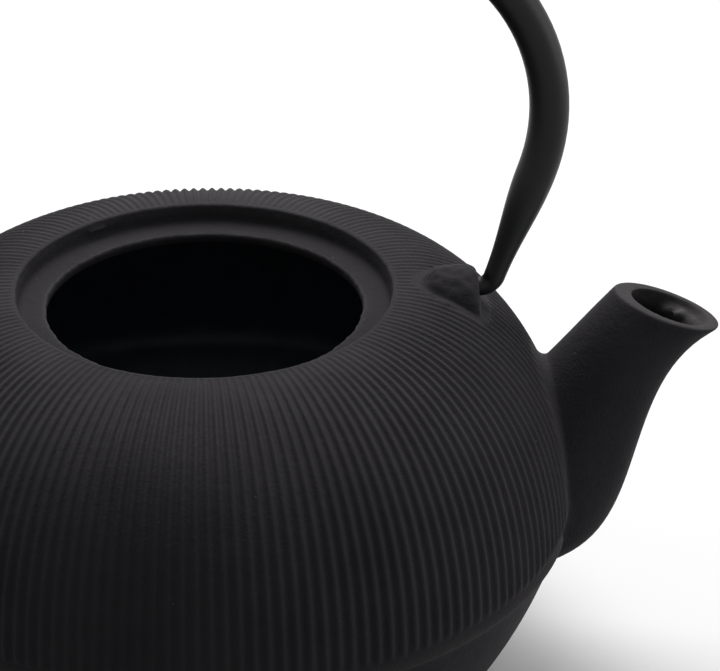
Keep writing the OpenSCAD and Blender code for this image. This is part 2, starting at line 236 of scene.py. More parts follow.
def oval(t, lines, root_half, mouth_half):
    """A ring of the spout's skin or channel. t, from root to mouth, may differ round the ring."""
    t = np.broadcast_to(t, SPOUT_SIDES)
    top, low = curve(lines[0], t), curve(lines[1], t)
    middle, half = (top + low) / 2, (top - low) / 2
    half_w = mouth_half + (root_half - mouth_half) * (1 - t) ** spout_taper
    up, out = np.cos(spout_angle), np.sin(spout_angle)
    square = 1 + keel * smooth(up, 0.3, -0.5) * smooth(t, 0.97, 0.6)
    up, out = (np.sign(way) * np.abs(way) ** (1 / square) for way in (up, out))
    xz = middle + half * up[:, None]
    return np.column_stack((xz[:, 0], half_w * out, xz[:, 1]))


def spout_skin(t):
    return oval(t, (top_line, low_line), root_w / 2, mouth_w / 2)


def spout_channel(t):
    return oval(t, (channel_top, channel_low), root_w / 2 - spout_wall, mouth_w / 2 - rim_side)


def on_shell(patch, q, inset=0):
    """A ring on the pot's wall: q times an oval patch of (middle z, half-height, half-width)."""
    z = patch[0] + q * patch[1] * np.cos(spout_angle)
    y = q * patch[2] * np.sin(spout_angle)
    return np.column_stack((np.sqrt(shell_r(z, inset) ** 2 - y**2), y, z))


def share_round(patch):
    """How far round such a patch a point lies, from 0 at its top."""
    return lambda p: math.atan2(p[1] / patch[2], (p[2] - patch[0]) / patch[1]) / (2 * math.pi) % 1


def within(patch, q):
    return lambda p: p[0] > 0 and math.hypot(p[1] / patch[2], (p[2] - patch[0]) / patch[1]) < q


def unit(vectors):
    return vectors / np.linalg.norm(vectors, axis=1)[:, None]


def fillet(start, leave, end, arrive, steps):
    """Rings of a rounded strip that leaves one ring and arrives at another along the given directions."""
    pull = 1.15 * np.linalg.norm(end - start, axis=1)[:, None]
    return [(2 * s**3 - 3 * s**2 + 1) * start + (s**3 - 2 * s**2 + s) * pull * unit(leave)
            + (3 * s**2 - 2 * s**3) * end + (s**3 - s**2) * pull * unit(arrive)
            for s in np.linspace(0, 1, steps + 1)[1:-1]]


def rounded(start, corner, end, steps):
    """Rings over an edge, from start to end, that would meet at corner if it were sharp."""
    return [(1 - s) ** 2 * start + 2 * s * (1 - s) * corner + s**2 * end for s in np.linspace(0, 1, steps + 1)]


pot = bmesh.new()
rib_depth = pot.verts.layers.float.new("rib")
pot_tone = pot.verts.layers.float.new("tone")
enamelled = pot.faces.layers.bool.new("enamel")


def set_tones(rings, tones):
    """Mark loops as lighter than plain iron, as wear and painted highlight, or as darker below zero, as painted shade,
    evenly or point by point.
    """
    for ring, tone in zip(rings, tones):
        for vert, value in zip(ring, np.broadcast_to(tone, len(ring))):
            vert[pot_tone] = value


# Inside: floor, wall and the underside of the ledge, with the hole into the spout
under_z = ledge_z - ledge_t
cavity_rows = [(shell_r(z, wall), z) for z in np.concatenate((
    np.linspace(floor_t + 2.5, bead_z, 12), np.linspace(bead_z + 1, groove_top_z, 5),
    np.linspace(groove_top_z + 3, under_z - 1.5, 14)))]
floor_edge_r = base_r - wall
floor_rows = [(20, floor_t), (floor_edge_r - 4, floor_t), (floor_edge_r - 0.8, floor_t + 0.5)]
top_r = float(shell_r(under_z, wall))
under_rows = [(top_r - 0.8, under_z - 0.2), (top_r - 3, under_z), (ledge_bore_r + 1, under_z)]
inside_loops = turned(pot, floor_rows + cavity_rows + under_rows, PLAIN_COLUMNS)
inside_faces = close(pot, inside_loops[0], (0, 0, floor_t)) + strips(pot, inside_loops)
channel_patch = (45.7, 18.7, 13.5)
channel_edge, channel_edge_turn = open_hole(pot, inside_faces, share_round(channel_patch),
                                            within(channel_patch, 1.12))

# Ledge, recess and lip: the ledge's hole and the lip keep the chipped edge of a dressed casting
lip_turn = angles(LIP_COLUMNS)
chips = wobble(lip_turn, 0.3)
flake = np.exp(-(((lip_turn - math.radians(122)) / math.radians(6)) ** 4)) * (0.3 + wobble(5 * lip_turn, 0.25))
lip_rows = [(ledge_bore_r + 0.12, under_z + 0.15, 0), (ledge_bore_r, under_z + 0.7, 0.3),
            (ledge_bore_r, ledge_z - 0.9, 0.6), (ledge_bore_r + 0.15, ledge_z - 0.35, 1),
            (ledge_bore_r + 0.5, ledge_z - 0.05, 1), (ledge_bore_r + 1.2, ledge_z, 0.6),
            (36.4, ledge_z, 0), (38.4, ledge_z, 0), (39.05, ledge_z + 0.08, 0), (39.4, ledge_z + 0.4, 0),
            (39.5, ledge_z + 1, 0), (39.6, ledge_z + 2, 0), (39.65, ledge_z + 2.3, 0),
            (39.85, body_h - 0.9, 0.2), (39.95, body_h - 0.4, 0.3),
            (40.1, body_h - 0.12, 0.3), (40.35, body_h - 0.02, 0.1)]
flake_row = 12
# The bore, the ledge and the recess wall are painted darker, as painted shade in the recess; the bore's upper edge and
# the lip's edge are painted a little lighter, as wear and painted highlight.
lip_shades_and_highlights = (-1, -1, -0.8, 0.06, 0.1, -0.6, -0.8, -0.8, -0.8, -0.5, -0.2, -0.2, -0.1, 0, 0, 0.05, 0)
lip_loops = [loop(pot, circle(r + share * chips - flake * (k == flake_row), z, LIP_COLUMNS))
             for k, (r, z, share) in enumerate(lip_rows)]
inside_faces += join(pot, inside_loops[-1], lip_loops[0])
strips(pot, lip_loops)
set_tones(lip_loops, lip_shades_and_highlights)

# Shoulder, bead and bowl: the bead dies out where it runs into the spout's root
root_patch = (46.1, 26.6, 18.6)
steep = np.radians(np.concatenate(((90, 89.5, 89.1, 88.6, 87.9, 87.0, 85.7), np.linspace(83.7, 5.6, 33))))
shoulder_zs = belly_z + (body_h - belly_z) * np.sin(steep) ** (2 / shoulder_power)
rib_zs = np.concatenate((shoulder_zs, (45.0, 43.9, 42.8, 42.0, 41.4, 40.9)))
bead_zs = bead_crest_z + np.linspace(1.8, -2.2, 15)
bowl_zs = np.concatenate(((35.6,), np.linspace(33.6, 2.2, 15), (1.0, 0.4)))
# The bead's crest is painted a little lighter, as painted highlight.
bead_end, bead_highlight = (0.25, 0.29), 0.09
bead_fade = smooth(np.abs(angles(PLAIN_COLUMNS)), *bead_end)
foot_rows = [(base_r - 0.35, 0.06), (base_r - 1.2, 0), (20, 0)]

outer = turned(pot, [(shell_r(z), z) for z in rib_zs], RIB_COLUMNS)
for z in bead_zs:
    bead = bead_rise * math.exp(-(((z - bead_crest_z) / bead_half_h) ** 2))
    outer.append(loop(pot, circle(shell_r(z) + bead * bead_fade, z, PLAIN_COLUMNS)))
    set_tones(outer[-1:], [bead_highlight * bead])
outer += turned(pot, [(shell_r(z), z) for z in bowl_zs] + foot_rows, PLAIN_COLUMNS)
join(pot, lip_loops[-1], outer[0])
outer_faces = strips(pot, outer)
close(pot, outer[-1], (0, 0, 0))

# Spout: fillet, skin, rounded rim and channel, closed on the hole inside
root_edge, root_edge_turn = open_hole(pot, outer_faces, share_round(root_patch), within(root_patch, 1.07))
skin_middle, skin_lean, near_mouth = 0.23, 0.11, 0.98
skin_from = skin_middle + skin_lean * np.cos(spout_angle)
root_ring = on_shell(root_patch, 1)
skin_start = spout_skin(skin_from)
spout_rings = [root_ring] + fillet(root_ring, on_shell(root_patch, 0.95) - root_ring, skin_start,
                                   spout_skin(skin_from + 0.02) - skin_start, 10)

# The mould's parting line leaves a thin seam and two crumbs of flash along the skin's underside
seam_h, seam_half_turn = 0.16, 0.055
crumbs, crumb_half_l = ((0.5, 0.07), (0.55, 0.30)), 0.02
seam = np.exp(-((spout_angle - math.pi) / seam_half_turn) ** 2)
for s in np.linspace(0, 1, 30):
    t = skin_from + (near_mouth - skin_from) * s
    ring, along = spout_skin(t), 1 - np.mean(t)
    flash = sum((high * math.exp(-((along - at) / crumb_half_l) ** 2) for high, at in crumbs), seam_h)
    spout_rings.append(ring + unit(ring - ring.mean(0)) * (flash * seam)[:, None])

rim_out, rim_in = spout_skin(1.0), spout_channel(1.0)
inward = unit(rim_in - rim_out)
rough = wobble(spout_angle * 3, 0.12)[:, None]
rim_face = rim_out + inward * 0.7
rim_lip = rim_in - inward * 0.35
rim_middle = (rim_face + rim_lip) / 2 + np.array((0.0, 0.0, 1.0)) * rough
# The rim's rows are painted a little lighter, as painted highlight on the rim.
rim_row, RIM_ROWS, rim_highlight = len(spout_rings) + 2, 11, 0.12
enamel_row = rim_row + 19
spout_rings += rounded(spout_rings[-1], rim_out, rim_face, 5)[1:] + [rim_middle]
spout_rings += rounded(rim_lip + inward * rough, rim_in, spout_channel(near_mouth), 4)

# The channel, with a few lumps that the core left just inside the mouth. The channel just inside the mouth and the
# lumps are painted lighter, as painted highlight.
channel_middle, channel_lean = 0.3, 0.1
channel_to = channel_middle + channel_lean * np.cos(spout_angle)
channel_lumps = ((2.0, 0.025, 2.45), (1.3, 0.05, 2.05), (0.9, 0.02, 2.85))
lump_half_l, lump_half_turn = 0.03, 0.22
channel_highlight, channel_highlights = 0.16, []
for s in np.linspace(0, 1, 27)[1:] ** 1.5:
    ring = spout_channel(near_mouth + (channel_to - near_mouth) * s)
    lump = sum(high * math.exp(-(((s - at) / lump_half_l) ** 2))
               * np.exp(-(((spout_angle - turn) / lump_half_turn) ** 2)) for high, at, turn in channel_lumps)
    channel_highlights.append(channel_highlight * smooth(s, 0.12, 0.05) + channel_highlight * lump)
    spout_rings.append(ring + unit(ring.mean(0) - ring) * lump[:, None])
spout_rings.append(on_shell(channel_patch, 1, wall))

spout_loops = [loop(pot, ring) for ring in spout_rings]
join(pot, root_edge, spout_loops[0], root_edge_turn)
set_tones(spout_loops[rim_row:], [rim_highlight] * RIM_ROWS)
set_tones(spout_loops[-1 - len(channel_highlights):], channel_highlights)
strips(pot, spout_loops[:enamel_row + 1])
inside_faces += strips(pot, spout_loops[enamel_row:])
inside_faces += join(pot, spout_loops[-1], channel_edge, spout_turn, channel_edge_turn)

# Ears: on each side a level-ridged lug that the bail's pin turns in, with a round nose towards the mouth
pin_z = joints["bail_swing"]["pos_m"][2] / MM
ear_ridge_z = pot_high.z
ear_face_r, ear_nose_x, ear_nose_l, ear_round = 58.4, 45.6, 4.6, 2.6
ear_nose_r, ear_widening = 6.4, 0.33
ear_foot_r, ear_foot_fade = 0.8, (9.2, 7.4)
ear_sunk, ear_blend, ear_face_slope = 0.5, 0.5, 18
ear_x, ear_half_l, ear_half_w, ear_taper, ear_power = 52.6, 8.0, 8.4, 0.45, 3.0
# The ear's top is painted darker towards its ridge, as painted shade.
ear_lump, ear_grain, ear_sink, ear_top_shade = 0.3, 1.7, 0.14, -0.5
EAR_RAYS, EAR_ROWS = 84, 34


def soft_max(a, b, reach):
    h = np.clip(0.5 + 0.5 * (a - b) / reach, 0, 1)
    return b + (a - b) * h + reach * h * (1 - h)


def ear_surface(x, y):
    """Height of the shoulder and the ear on it, which meet in a narrow fillet."""
    out = np.hypot(x, y)
    ground = shell_z(out)
    section_r = ear_nose_r + ear_widening * np.clip(x - ear_nose_x - ear_nose_l, 0, None)
    nose = np.sin(math.pi / 2 * np.clip((x - ear_nose_x) / ear_nose_l, 0, 1)) ** 1.3
    nose_z = shell_z(ear_nose_x)
    ridge = nose_z - ear_sunk + (ear_ridge_z - nose_z + ear_sunk) * nose
    flank = (section_r - np.sqrt(np.clip(section_r**2 - y**2, 0.2, None))
             + 2 * np.clip(np.abs(y) - 0.97 * section_r, 0, 9))
    edge = np.clip(out - (ear_face_r - ear_round), 0, 0.96 * ear_round)
    lug = ridge - flank - (ear_round - np.sqrt(ear_round**2 - edge**2))
    face = ear_ridge_z - 0.72 * ear_round - ear_face_slope * (out - ear_face_r + 0.15)
    foot = np.clip(out - ear_face_r, 0, ear_foot_r)
    cove = ear_foot_r - np.sqrt(ear_foot_r**2 - (ear_foot_r - foot) ** 2)
    cove = np.where(out > ear_face_r - 0.3, cove * smooth(np.abs(y), *ear_foot_fade), 0)
    return soft_max(np.minimum(lug, face), ground + cove, ear_blend)


def ear_place(x, y):
    """Place in the tapered patch that an ear stands on, as shares of its half-length and half-width."""
    along = (np.abs(x) - ear_x) / ear_half_l
    return along, y / (ear_half_w * (1 + ear_taper * np.clip(along, -1.5, 1.5)))


def ear_share(p):
    along, across = ear_place(p[0], p[1])
    return math.atan2(across, along) / (2 * math.pi) % 1


def ear_reach(x, y):
    """1 on the edge of the ear's patch, and less inside it."""
    along, across = ear_place(x, y)
    return (np.abs(along) ** ear_power + np.abs(across) ** ear_power) ** (1 / ear_power)


def lumpy(points, size, grain):
    """The unevenness of the sand for points in millimetres, as heights up to about size."""
    return np.array([size * noise.noise(Vector(point) / grain) for point in points])


for side in (1, -1):
    edge, edge_turn = open_hole(pot, outer_faces, ear_share, lambda p: p[0] * side > 0 and p[2] > belly_z + 30
                                and ear_reach(p[0], p[1]) < 1.04)
    rays = []
    for turn in turns(EAR_RAYS):
        out = np.array((math.cos(turn), math.sin(turn)))
        out /= (np.abs(out) ** ear_power).sum() ** (1 / ear_power)
        way = np.linspace(0, 1, 400)
        along = way * out[0]
        x, y = ear_x + ear_half_l * along, ear_half_w * way * out[1] * (1 + ear_taper * along)
        points = np.column_stack((x, y, ear_surface(x, y)))
        risen = smooth(points[:, 2] - shell_z(np.hypot(x, y)), 0.1, 1.0)
        points[:, 2] += (lumpy(points, ear_lump, ear_grain) - ear_sink) * risen
        length = np.concatenate(((0,), np.cumsum(np.linalg.norm(np.diff(points, axis=0), axis=1))))
        at = np.linspace(0, length[-1], EAR_ROWS + 1)
        rays.append(np.column_stack([np.interp(at, length, points[:, axis]) for axis in range(3)]))
    rays = np.array(rays) * (side, 1, 1)
    ear_loops = [loop(pot, rays[:, row]) for row in range(EAR_ROWS, 0, -1)]
    join(pot, edge, ear_loops[0], edge_turn)
    strips(pot, ear_loops)
    close(pot, ear_loops[-1], rays[0, 0])
    for vert in (vert for ring in ear_loops for vert in ring):
        vert[pot_tone] = ear_top_shade * smooth(vert.co.z / MM, ear_ridge_z - 4, ear_ridge_z - 1)

# Where the ribs stand at their full depth and where they die out, and which faces are enamelled
rib_foot, spout_clear, ear_clear = (40.9, 43.2), (1.05, 1.14), (1.02, 1.09)
lip_near, lip_far, near_share = 0.6, 14, 0.4
for ring in outer[:len(rib_zs)]:
    alive = [vert for vert in ring if vert.is_valid]
    x, y, z = (np.array([vert.co for vert in alive]) / MM).T
    q = np.hypot(y / root_patch[2], (z - root_patch[0]) / root_patch[1])
    from_lip = np.hypot(x, y) - crest_r
    lip_fade = near_share * smooth(from_lip, 0, lip_near) + (1 - near_share) * smooth(from_lip, 0, lip_far)
    depth = (smooth(z, *rib_foot) * lip_fade * np.where(x > 0, smooth(q, *spout_clear), 1)
             * smooth(ear_reach(x, y), *ear_clear))
    for vert, value in zip(alive, depth):
        vert[rib_depth] = value
for face in inside_faces:
    face[enamelled] = True


def piece(name, bm, *materials, closed=True):
    """A new object at the origin from a mesh, shaded smooth. A closed mesh has its faces turned outwards."""
    if closed:
        bmesh.ops.recalc_face_normals(bm, faces=bm.faces)
    mesh = bpy.data.meshes.new(name)
    bm.to_mesh(mesh)
    bm.free()
    mesh.shade_smooth()
    for material in materials:
        mesh.materials.append(material)
    obj = bpy.data.objects.new(name, mesh)
    bpy.context.collection.objects.link(obj)
    return obj


def colour(code):
    """A linear colour from an sRGB hex code."""
    srgb = [int(code[i:i + 2], 16) / 255 for i in (1, 3, 5)]
    return [c / 12.92 if c <= 0.04045 else ((c + 0.055) / 1.055) ** 2.4 for c in srgb] + [1.0]


def add_node(tree, kind, inputs=None, **settings):
    """Add a node with its settings. Each input is a value, or another node's output to link to."""
    node = tree.nodes.new(kind)
    for name, value in settings.items():
        setattr(node, name, value)
    for key, value in (inputs or {}).items():
        if isinstance(value, bpy.types.NodeSocket):
            tree.links.new(value, node.inputs[key])
        else:
            node.inputs[key].default_value = value
    return node


def maths(tree, operation, *values, **settings):
    """A Math node's output."""
    return add_node(tree, "ShaderNodeMath", dict(enumerate(values)), operation=operation, **settings).outputs[0]


def vector_maths(tree, operation, *values):
    """A Vector Math node's output, which is a number for a length."""
    node = add_node(tree, "ShaderNodeVectorMath", dict(enumerate(values)), operation=operation)
    return node.outputs["Value" if operation == "LENGTH" else "Vector"]


def spread(tree, value, low, high, start=0, end=1, **settings):
    """A value between start and end, made to run from low to high."""
    limits = {"From Min": start, "From Max": end, "To Min": low, "To Max": high}
    return add_node(tree, "ShaderNodeMapRange", {"Value": value, **limits}, **settings).outputs["Result"]


def uneven(tree, place, size, detail, roughness=0.5):
    """Noise with a grain of about a size in millimetres."""
    return add_node(tree, "ShaderNodeTexNoise", {
        "Vector": place, "Scale": 1 / (size * MM), "Detail": detail, "Roughness": roughness}).outputs["Fac"]


def bumps(tree, height, strength, depth, **below):
    """The normal of a surface with bumps of a depth in millimetres."""
    return add_node(tree, "ShaderNodeBump", {
        "Height": height, "Strength": strength, "Distance": depth * MM, **below}).outputs["Normal"]


def new_material(name):
    """An empty material. Gives it, its tree and the place on its object."""
    material = bpy.data.materials.new(name)
    material.use_nodes = True
    tree = material.node_tree
    tree.nodes.clear()
    return material, tree, add_node(tree, "ShaderNodeTexCoord").outputs["Object"]


def finish(material, inputs, shader="ShaderNodeBsdfPrincipled"):
    """Give a material its last shader, and give the material back."""
    last = add_node(material.node_tree, shader, inputs)
    add_node(material.node_tree, "ShaderNodeOutputMaterial", {"Surface": last.outputs[0]})
    return material


def shades(tree, factor, stops):
    """A colour ramp over a factor, from (place, hex code) stops."""
    ramp = add_node(tree, "ShaderNodeValToRGB", {"Fac": factor})
    while len(ramp.color_ramp.elements) < len(stops):
        ramp.color_ramp.elements.new(1)
    for element, (place, code) in zip(ramp.color_ramp.elements, stops):
        element.position = place
        element.color = colour(code)
    return ramp.outputs["Color"]


# Matte black cast iron: dull and grainy from the sand, with cloudy shades and a few specks of dust. Its "tone"
# attribute mixes in painted shade below zero, and wear with painted highlight above zero.
def cast_iron():
    material, tree, place = new_material("matte_black_cast_iron")
    clouds = uneven(tree, place, 24, 6, 0.65)
    grain = uneven(tree, place, 0.55, 2)
    pits = uneven(tree, place, 2.2, 3)
    dust = add_node(tree, "ShaderNodeTexVoronoi", {"Vector": place, "Scale": 1 / (7 * MM)}).outputs["Distance"]
    tone = add_node(tree, "ShaderNodeAttribute", attribute_name="tone").outputs["Fac"]
    painted_shade = spread(tree, tone, 1, 0, -1, 0)
    wear_and_highlight = maths(tree, "MULTIPLY", tone, spread(tree, pits, 0.6, 1, 0.35, 0.65), use_clamp=True)
    speck = spread(tree, dust, 1, 0, 0.022, 0.034)
    skin = shades(tree, clouds, ((0.3, "#333134"), (0.7, "#3e3c3f")))
    for share, code in ((painted_shade, "#2f2d30"), (wear_and_highlight, "#8a8785"), (speck, "#5e5b5c")):
        skin = add_node(tree, "ShaderNodeMix", {"Factor": share, "A": skin, "B": colour(code)},
                        data_type="RGBA").outputs["Result"]
    fine = bumps(tree, grain, 0.6, 0.16)
    return finish(material, {
        "Base Color": skin, "Roughness": spread(tree, pits, 0.62, 0.78),
        "Normal": bumps(tree, pits, 0.6, 0.3, Normal=fine), "Specular IOR Level": 0.04})


# Black enamel: a fired glass skin with a soft gloss, that follows the uneven iron beneath. Its grey-blue colour is
# lighter than such enamel, as painted light for the faint haze seen inside the pot.
def black_enamel():
    material, tree, place = new_material("black_enamel")
    waves = uneven(tree, place, 6, 2)
    return finish(material, {
        "Base Color": shades(tree, waves, ((0.35, "#3b4048"), (0.7, "#444a53"))), "Roughness": 0.42,
        "Normal": bumps(tree, waves, 0.3, 0.3), "Specular IOR Level": 0.25})


def new_tree(name, sockets):
    """A Geometry Nodes tree with named inputs that gives a geometry. Gives the tree and what comes in."""
    tree = bpy.data.node_groups.new(name, "GeometryNodeTree")
    for label, kind in sockets.items():
        tree.interface.new_socket(label, in_out="INPUT", socket_type="NodeSocket" + kind)
    tree.interface.new_socket("Geometry", in_out="OUTPUT", socket_type="NodeSocketGeometry")
    return tree, add_node(tree, "NodeGroupInput").outputs


def send_out(tree, shape, *steps):
    """Send a geometry through nodes, one after another, and out of its tree."""
    for kind, inputs in steps:
        shape = add_node(tree, "GeometryNode" + kind, {0: shape, **inputs}).outputs[0]
    add_node(tree, "NodeGroupOutput", {0: shape})
    return tree


# Ribs: a tree that presses upright grooves into a turned surface, as deep as its "rib" attribute allows. It adds to
# the "tone" attribute painted highlight along the groove bottoms, and wear with painted highlight along the ridges,
# strongest where the surface faces up.
def rib_tree():
    tree, given = new_tree("cast_ribs", {
        "Geometry": "Geometry", "Rib count": "Int", "Depth": "Float", "Ridge wear": "Float", "Groove dust": "Float",
        "Axis place": "Vector", "Iron": "Material", "Enamel": "Material"})
    position = add_node(tree, "GeometryNodeInputPosition").outputs[0]
    local = vector_maths(tree, "SUBTRACT", position, given["Axis place"])
    xyz = add_node(tree, "ShaderNodeSeparateXYZ", {0: local}).outputs
    half_count = maths(tree, "MULTIPLY", given["Rib count"], 0.5)
    phase = maths(tree, "MULTIPLY", maths(tree, "ARCTAN2", xyz["Y"], xyz["X"]), half_count)
    wave = maths(tree, "SINE", phase)
    flute = maths(tree, "MULTIPLY", wave, wave)
    mask, tone, lined = (add_node(tree, "GeometryNodeInputNamedAttribute", {"Name": name}, data_type=kind).outputs[0]
                         for name, kind in (("rib", "FLOAT"), ("tone", "FLOAT"), ("enamel", "BOOLEAN")))
    masked = maths(tree, "MULTIPLY", given["Depth"], mask)
    push = maths(tree, "MULTIPLY", masked, maths(tree, "MULTIPLY", flute, -1.0))
    normal = add_node(tree, "GeometryNodeInputNormal").outputs[0]
    offset = add_node(tree, "ShaderNodeVectorMath", {0: normal, "Scale": push}, operation="SCALE").outputs[0]
    light = 0.0
    for line, amount in ((maths(tree, "SUBTRACT", 1.0, flute), given["Ridge wear"]), (flute, given["Groove dust"])):
        light = maths(tree, "MULTIPLY_ADD", maths(tree, "POWER", line, 4.0), amount, light)
    rise = add_node(tree, "ShaderNodeSeparateXYZ", {0: normal}).outputs["Z"]
    lit_from_above = maths(tree, "MULTIPLY", mask, spread(tree, rise, 0, 1, 0.35, 0.85))
    toned = maths(tree, "MULTIPLY_ADD", light, lit_from_above, tone)
    return send_out(tree, given["Geometry"], ("SetPosition", {"Offset": offset}),
                    ("StoreNamedAttribute", {"Name": "tone", "Value": toned}), ("RealizeInstances", {}),
                    ("SetMaterial", {"Material": given["Iron"]}),
                    ("SetMaterial", {"Selection": lined, "Material": given["Enamel"]}))


def sharpen(obj, degrees):
    """Show the edges as sharp that bend by more than an angle."""
    obj.data.set_sharp_from_angle(angle=math.radians(degrees))


def add_tree(obj, tree, values):
    """Run a Geometry Nodes tree on an object, with its named inputs, and keep the result as a plain mesh."""
    modifier = obj.modifiers.new(tree.name, "NODES")
    modifier.node_group = tree
    for item in tree.interface.items_tree:
        if item.in_out == "INPUT" and item.name in values:
            modifier[item.identifier] = values[item.name]
    keep_shape(obj)


def keep_shape(obj):
    """Apply all of an object's modifiers."""
    bpy.context.view_layer.update()
    shaped = obj.evaluated_get(bpy.context.evaluated_depsgraph_get())
    mesh = bpy.data.meshes.new_from_object(shaped)
    old, obj.data = obj.data, mesh
    mesh.name = obj.name
    obj.modifiers.clear()
    bpy.data.meshes.remove(old)


iron = cast_iron()
enamel = black_enamel()
ribs = rib_tree()
pot_piece = piece("pot", pot)
add_tree(pot_piece, ribs, {"Rib count": RIBS, "Depth": 0.62 * MM, "Ridge wear": 0.08,
                           "Groove dust": 0.08, "Axis place": (0, 0, 0), "Iron": iron, "Enamel": enamel})

# The bores that the bail's pins turn in
bore_r, bore_depth, BORE_SIDES = 2.25, 7.6, 40
bores = bmesh.new()
for side in (1, -1):
    turn = turns(BORE_SIDES)
    y, z = bore_r * np.cos(turn), pin_z + bore_r * np.sin(turn)
    ends = [loop(bores, np.column_stack((np.full(BORE_SIDES, side * x), y, z)))
            for x in (ear_face_r - bore_depth, ear_face_r + 3)]
    join(bores, *ends)
    for end in ends:
        bores.faces.new(end)
bore_piece = piece("bores", bores, iron)
cut = pot_piece.modifiers.new("bores", "BOOLEAN")
cut.object = bore_piece
cut.operation = "DIFFERENCE"
cut.solver = "EXACT"
keep_shape(pot_piece)
bpy.data.objects.remove(bore_piece)
sharpen(pot_piece, 50)
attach(pot_piece, "pot")
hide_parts("pot_body")


# Bail handle: a steel bar drawn thin at both ends, bent to a hoop and painted satin black.
# Its ends turn inwards in a tight elbow and run as pins in the ears, so the hoop swings down.
pin_r, pin_end_x = 2.0, 51.4
leg_x, leg_lean = 61.0, math.radians(19.3)
bail_r, bail_foot_r = 4.2, 2.3
elbow_r = 3.5
corner_r, crown_angle = 44.0, math.radians(60)
corner_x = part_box("bail_handle")[1].x / MM - bail_r - corner_r
leg_l = (corner_x + corner_r * math.cos(leg_lean) - leg_x) / math.sin(leg_lean)
corner_z = pin_z + leg_l * math.cos(leg_lean) + corner_r * math.sin(leg_lean)
crown_r = (corner_x + corner_r * math.cos(crown_angle)) / math.cos(crown_angle)
crown_z = corner_z + (corner_r - crown_r) * math.sin(crown_angle)
BAIL_SIDES = 36


def bail_stations():
    """Half the bail from a pin's end to the top: rows of x, z, the line's slope and the bar's radius."""
    elbow_turn = math.pi / 2 - leg_lean
    elbow_t = elbow_r * math.tan(elbow_turn / 2)
    rows = [(pin_end_x, pin_z, 0, pin_r - 0.5), (pin_end_x + 0.15, pin_z, 0, pin_r - 0.15)]
    rows += [(x, pin_z, 0, pin_r) for x in np.linspace(pin_end_x + 0.5, leg_x - elbow_t, 5)]
    for share in np.linspace(0, 1, 13)[1:]:
        turn = share * elbow_turn
        rows.append((leg_x - elbow_t + elbow_r * math.sin(turn), pin_z + elbow_r * (1 - math.cos(turn)),
                     turn, pin_r + (bail_foot_r - pin_r) * share))
    for way in np.linspace(elbow_t, leg_l, 19)[1:]:
        swell = (1 - math.cos(math.pi * (way - elbow_t) / (leg_l - elbow_t))) / 2
        rows.append((leg_x + way * math.sin(leg_lean), pin_z + way * math.cos(leg_lean), elbow_turn,
                     bail_foot_r + (bail_r - bail_foot_r) * swell))
    for a in np.linspace(-leg_lean, crown_angle, 25)[1:]:
        rows.append((corner_x + corner_r * math.cos(a), corner_z + corner_r * math.sin(a), a + math.pi / 2, bail_r))
    for a in np.linspace(crown_angle, math.pi / 2, 17)[1:]:
        rows.append((crown_r * math.cos(a), crown_z + crown_r * math.sin(a), a + math.pi / 2, bail_r))
    return rows


def bail_ring(station, side):
    x, z, slope, r = station
    turn = turns(BAIL_SIDES)
    return np.column_stack((side * (x + r * np.cos(turn) * math.sin(slope)), r * np.sin(turn),
                            z - r * np.cos(turn) * math.cos(slope)))


# Satin black stove paint: even and slightly blue, with soft highlights and a faint peel
def stove_paint():
    material, tree, place = new_material("satin_black_stove_paint")
    clouds = uneven(tree, place, 12, 3)
    peel = uneven(tree, place, 1.1, 2)
    return finish(material, {
        "Base Color": shades(tree, clouds, ((0.3, "#0d0e10"), (0.7, "#131417"))),
        "Roughness": spread(tree, clouds, 0.36, 0.5), "Normal": bumps(tree, peel, 0.15, 0.12),
        "Specular IOR Level": 0.22})


stations = bail_stations()
bail = bmesh.new()
bail_loops = [loop(bail, bail_ring(station, 1)) for station in stations]
bail_loops += [loop(bail, bail_ring(station, -1)) for station in stations[-2::-1]]
strips(bail, bail_loops)
for ring in (bail_loops[0], bail_loops[-1]):
    bail.faces.new(ring)
bail_piece = piece("bail", bail, stove_paint())
sharpen(bail_piece, 60)
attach(bail_piece, "bail")
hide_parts("bail_handle")


# Lid cover: an iron casting with the pot's ribs on its low crown, a flat seat for the knob, a steam
# hole and a ring below that steadies it in the basket. It is off the pot and stands beside it.
lid_low, lid_high = (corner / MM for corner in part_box("lid_cover"))
lid_at = ((lid_low.x + lid_high.x) / 2, (lid_low.y + lid_high.y) / 2)
lid_r = (lid_high.x - lid_low.x) / 2
seat_z, seat_r = lid_high.z, 7.0
crown_top_z, lid_edge_z, lid_under_z, lid_t = 14.2, 9.2, 10.6, 3.6
ring_in_r, ring_out_r, ring_h = 27.45, 30.45, 6.0
screw_hole_r = 2.25
vent_x, vent_r = 20.0, 1.5
LID_RIBS = 120
LID_COLUMNS = 8 * LID_RIBS
lid_ball_r = (lid_r**2 + (crown_top_z - lid_edge_z) ** 2) / (2 * (crown_top_z - lid_edge_z))


def lid_top(r):
    return crown_top_z - lid_ball_r + np.sqrt(lid_ball_r**2 - r**2)


def lid_floor(r):
    """Height of the crown's underside."""
    return np.minimum(lid_under_z, lid_top(r) - lid_t)


